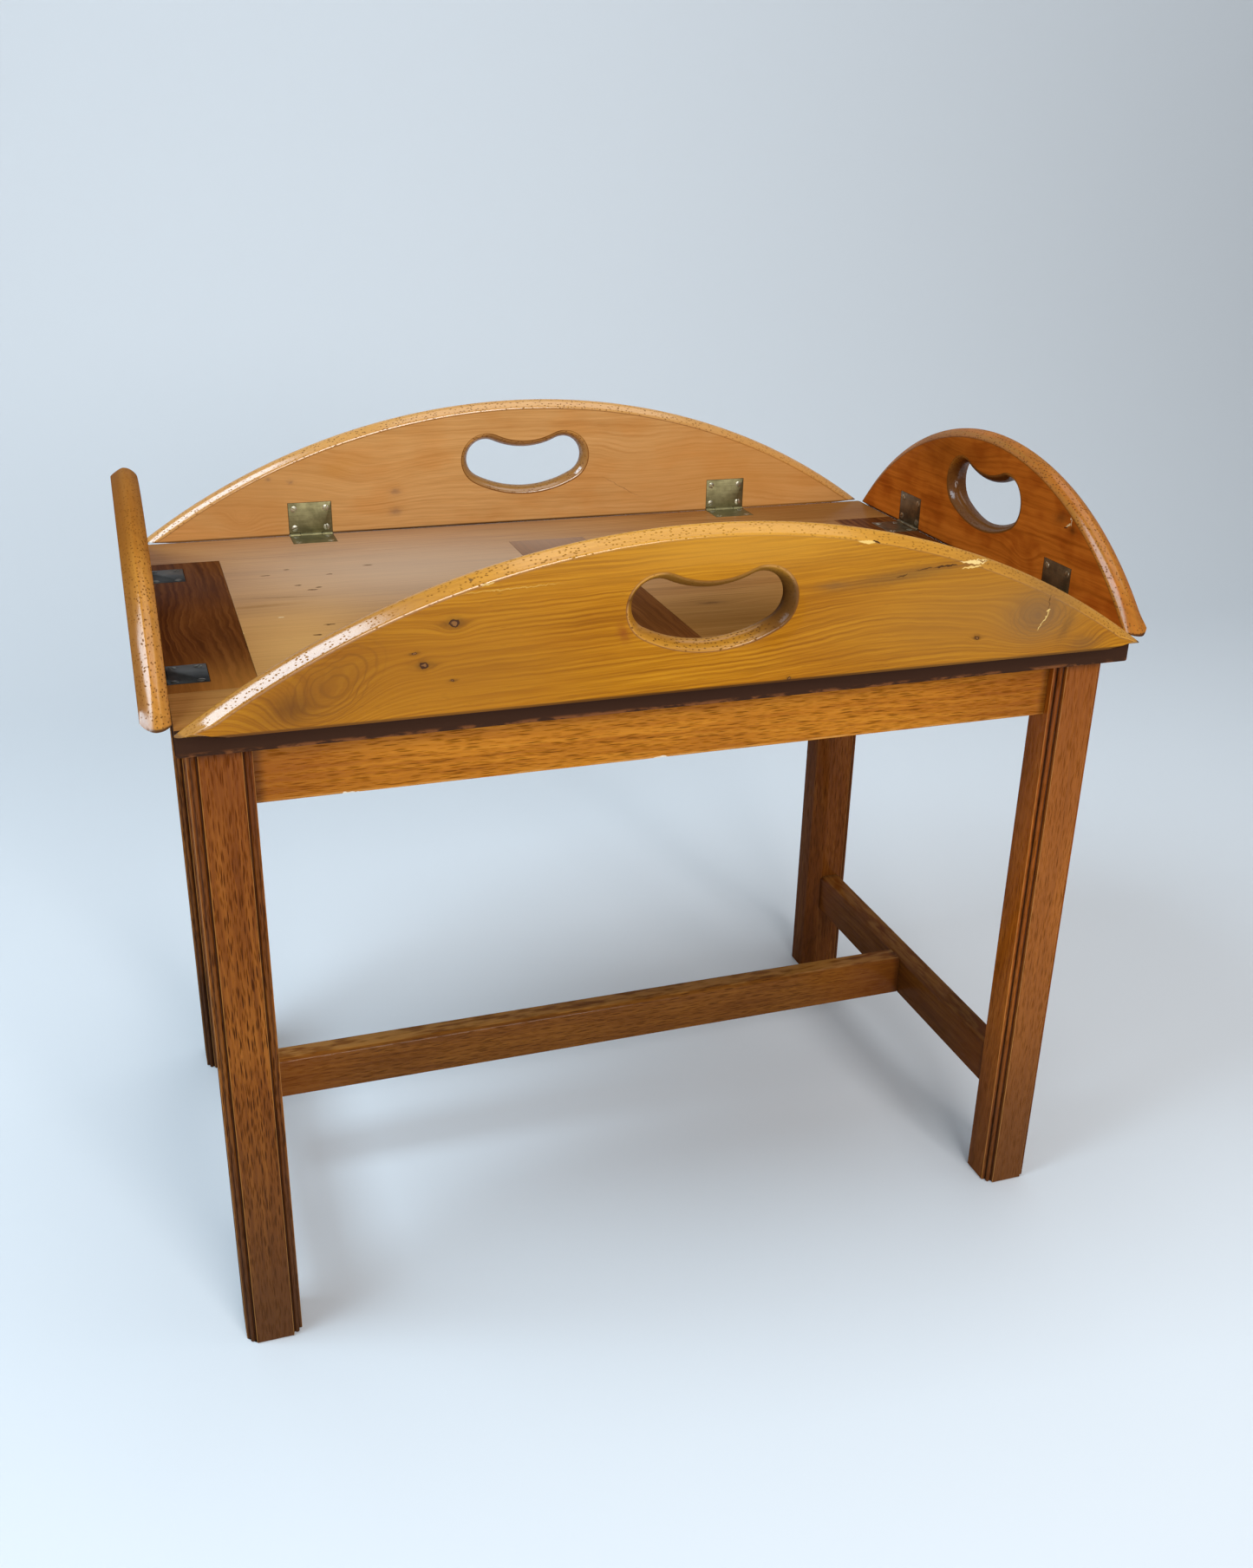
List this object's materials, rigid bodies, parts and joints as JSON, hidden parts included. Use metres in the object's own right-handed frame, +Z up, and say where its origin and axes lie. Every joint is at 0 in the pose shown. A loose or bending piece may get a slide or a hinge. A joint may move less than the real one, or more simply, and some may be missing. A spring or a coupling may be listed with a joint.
{
  "type": "butler tray table",
  "caption": "Low table with a rectangular tray top whose arched leaves, each with a kidney-shaped hand hole, fold up on brass hinges; the stand has stretchers.",
  "frame": {"origin": "on the floor under the middle of the stand, the leaves folded up", "axes": "+X along the tray's long side, to the right seen from the front; the front is at -Y; +Z up"},
  "size_m": [0.738, 0.494, 0.626],
  "materials": {
    "stained_stand_wood": "stained and waxed, open dark pores",
    "peg_wood": "plain turned hardwood",
    "golden_yew": "polished, golden orange with knots",
    "pale_yew": "polished, paler orange",
    "red_yew": "polished, dark reddish brown",
    "speckled_yew": "polished, orange with small knots",
    "tan_yew": "glossy, tan with dark flecks",
    "brown_yew": "glossy, dark reddish brown",
    "dull_brass": "dull olive brass",
    "pin_brass": "brass rod",
    "spring_steel": "blued spring steel"
  },
  "bodies": {
    "stand": {"leg_front_left": "stained_stand_wood", "leg_front_right": "stained_stand_wood", "leg_back_left": "stained_stand_wood", "leg_back_right": "stained_stand_wood", "apron_front": "stained_stand_wood", "apron_back": "stained_stand_wood", "apron_left": "stained_stand_wood", "apron_right": "stained_stand_wood", "stretcher_left": "stained_stand_wood", "stretcher_right": "stained_stand_wood", "stretcher_centre": "stained_stand_wood", "peg_front_left": "peg_wood", "peg_front_right": "peg_wood", "peg_back_left": "peg_wood", "peg_back_right": "peg_wood"},
    "tray": {"tray_rail_front": "tan_yew", "tray_rail_back": "tan_yew", "tray_stile_left": "brown_yew", "tray_stile_right": "brown_yew", "tray_muntin": "brown_yew", "tray_panel_left": "tan_yew", "tray_panel_right": "tan_yew", "hinge_front_1_tray_plate": "dull_brass", "hinge_front_1_pin": "pin_brass", "hinge_front_1_spring": "spring_steel", "hinge_front_2_tray_plate": "dull_brass", "hinge_front_2_pin": "pin_brass", "hinge_front_2_spring": "spring_steel", "hinge_right_1_tray_plate": "dull_brass", "hinge_right_1_pin": "pin_brass", "hinge_right_1_spring": "spring_steel", "hinge_right_2_tray_plate": "dull_brass", "hinge_right_2_pin": "pin_brass", "hinge_right_2_spring": "spring_steel", "hinge_back_1_tray_plate": "dull_brass", "hinge_back_1_pin": "pin_brass", "hinge_back_1_spring": "spring_steel", "hinge_back_2_tray_plate": "dull_brass", "hinge_back_2_pin": "pin_brass", "hinge_back_2_spring": "spring_steel", "hinge_left_1_tray_plate": "dull_brass", "hinge_left_1_pin": "pin_brass", "hinge_left_1_spring": "spring_steel", "hinge_left_2_tray_plate": "dull_brass", "hinge_left_2_pin": "pin_brass", "hinge_left_2_spring": "spring_steel"},
    "front_leaf": {"leaf_front": "golden_yew", "hinge_front_1_leaf_plate": "dull_brass", "hinge_front_2_leaf_plate": "dull_brass"},
    "right_leaf": {"leaf_right": "red_yew", "hinge_right_1_leaf_plate": "dull_brass", "hinge_right_2_leaf_plate": "dull_brass"},
    "back_leaf": {"leaf_back": "pale_yew", "hinge_back_1_leaf_plate": "dull_brass", "hinge_back_2_leaf_plate": "dull_brass"},
    "left_leaf": {"leaf_left": "speckled_yew", "hinge_left_1_leaf_plate": "dull_brass", "hinge_left_2_leaf_plate": "dull_brass"}
  },
  "joints": [
    {"name": "tray_lift", "type": "slide", "parent": "stand", "child": "tray", "axis": [0, 0, 1], "range_m": [0, 0.06]},
    {"name": "front_leaf_hinge", "type": "hinge", "parent": "tray", "child": "front_leaf", "pos_m": [0, -0.228, 0.514], "axis": [1, 0, 0], "range_deg": [0, 90]},
    {"name": "right_leaf_hinge", "type": "hinge", "parent": "tray", "child": "right_leaf", "pos_m": [0.35, 0, 0.514], "axis": [0, 1, 0], "range_deg": [0, 90]},
    {"name": "back_leaf_hinge", "type": "hinge", "parent": "tray", "child": "back_leaf", "pos_m": [0, 0.228, 0.514], "axis": [-1, 0, 0], "range_deg": [0, 90]},
    {"name": "left_leaf_hinge", "type": "hinge", "parent": "tray", "child": "left_leaf", "pos_m": [-0.35, 0, 0.514], "axis": [0, -1, 0], "range_deg": [0, 90]}
  ]
}
